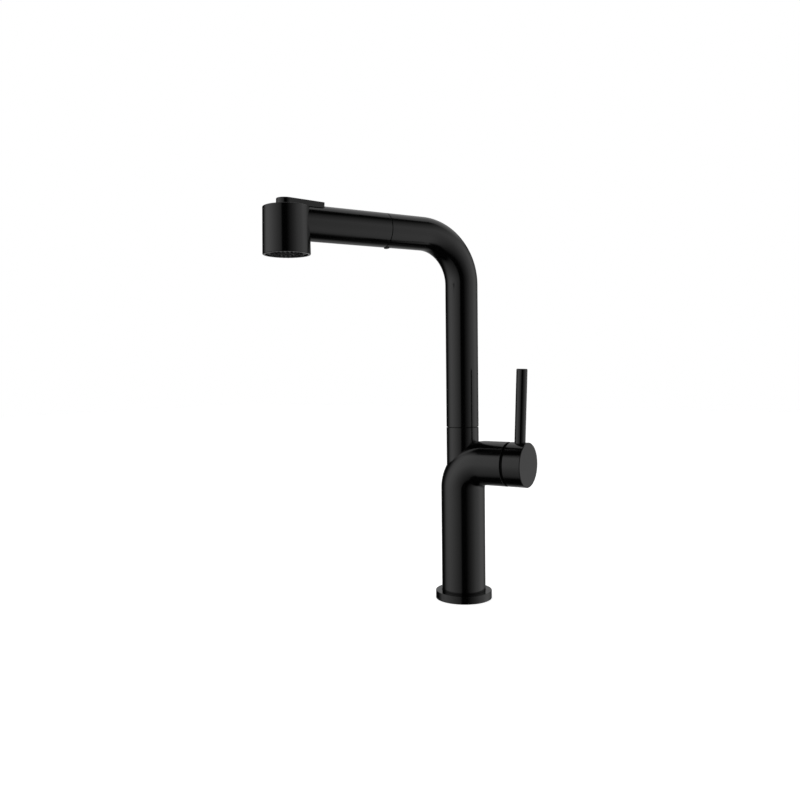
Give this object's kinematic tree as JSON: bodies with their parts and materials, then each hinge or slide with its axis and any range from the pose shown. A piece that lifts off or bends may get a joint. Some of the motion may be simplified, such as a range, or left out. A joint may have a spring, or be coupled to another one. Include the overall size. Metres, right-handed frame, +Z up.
{
  "type": "pull-out kitchen faucet",
  "caption": "Matt black single-lever kitchen faucet: upright body with a side lever, swivelling square-bend spout and a pull-out cylindrical spray head with a mode button on top.",
  "frame": {"origin": "on the riser's axis at deck level, in the plane of the base flange's underside, in the middle of the tap hole", "axes": "+Z up along the riser, +X along the lever handle's axis away from the body, -Y straight ahead over the sink; the spout stands 26.4 degrees from straight ahead towards -X"},
  "size_m": [0.1752, 0.2165, 0.4656],
  "materials": {
    "satin_black": "satin black coating with a fine grain",
    "black_plastic": "moulded black plastic",
    "black_rubber": "soft black rubber",
    "brass": "turned brass",
    "steel": "bright stainless steel",
    "white_plastic": "natural acetal",
    "ceramic": "lapped ceramic",
    "hose_braid": "grey nylon braid over a rubber hose"
  },
  "bodies": {
    "body": {"base_flange": "satin_black", "base_gasket": "black_rubber", "threaded_shank": "brass", "clamp_rubber": "black_rubber", "clamp_washer": "steel", "shank_nut": "brass", "hose_guide": "black_plastic", "hose_tail": "brass", "body_shell": "satin_black", "valve_block": "brass", "hot_nipple": "brass", "cold_nipple": "brass", "outlet_nipple": "brass", "swivel_spigot": "brass", "thrust_washer": "black_plastic", "lower_bush": "white_plastic", "lower_seal": "black_rubber", "upper_seal": "black_rubber", "upper_bush": "white_plastic", "retaining_clip": "steel", "cartridge_base": "black_plastic", "hot_port_seal": "black_rubber", "cold_port_seal": "black_rubber", "outlet_port_seal": "black_rubber", "fixed_disc": "ceramic", "cartridge_housing": "white_plastic", "cartridge_nut": "brass", "dome_cover": "satin_black"},
    "spout": {"spout_tube": "satin_black", "swivel_sleeve": "brass", "docking_collar": "black_plastic", "pullout_hose": "hose_braid"},
    "spray_head": {"head_shell": "satin_black", "docking_tenon": "black_plastic", "hose_ferrule": "steel", "hose_nut": "brass", "hose_seal": "black_rubber", "waterway": "white_plastic", "check_valve": "black_plastic", "flow_divider": "white_plastic", "nozzle_mat": "black_rubber", "nozzle_plate": "black_plastic", "aerator": "black_plastic", "button_spring": "steel"},
    "mode_button": {"button_plate": "satin_black", "button_pin": "steel"},
    "diverter": {"diverter_stem": "black_plastic"},
    "carrier": {"spindle_carrier": "white_plastic", "spindle_pin": "steel"},
    "mixing_disc": {"moving_disc": "ceramic"},
    "handle": {"spindle": "steel", "handle_cap": "satin_black", "lever_rod": "satin_black", "cap_screw": "steel"}
  },
  "joints": [
    {"name": "spout_swivel", "type": "hinge", "parent": "body", "child": "spout", "pos_m": [0, 0, 0.172], "axis": [0, 0, 1], "range_deg": [-48.6, 101.4]},
    {"name": "head_pull", "type": "slide", "parent": "spout", "child": "spray_head", "axis": [-0.4446, -0.8957, 0], "range_m": [0, 0.2], "deforming": ["pullout_hose"]},
    {"name": "button_press", "type": "hinge", "parent": "spray_head", "child": "mode_button", "pos_m": [-0.07003, -0.14108, 0.37495], "axis": [0.8957, -0.4446, 0], "range_deg": [0, 2.2], "stiffness_Nm_per_rad": 0.8, "springref_deg": -3.44, "deforming": ["button_spring"]},
    {"name": "diverter_travel", "type": "slide", "parent": "spray_head", "child": "diverter", "axis": [0, 0, -1], "range_m": [0, 0.00114]},
    {"name": "temperature_turn", "type": "hinge", "parent": "body", "child": "carrier", "pos_m": [0.037, 0, 0.1365], "axis": [1, 0, 0], "range_deg": [-45, 45]},
    {"name": "flow_tilt", "type": "hinge", "parent": "carrier", "child": "handle", "pos_m": [0.037, 0, 0.1365], "axis": [0, 1, 0], "range_deg": [0, 22]},
    {"name": "disc_shift", "type": "slide", "parent": "carrier", "child": "mixing_disc", "axis": [0, 0, 1], "range_m": [0, 0.00154]}
  ],
  "couplings": [
    {"joint": "diverter_travel", "follows": "button_press", "m_per_rad": 0.0295},
    {"joint": "disc_shift", "follows": "flow_tilt", "m_per_rad": 0.004}
  ]
}
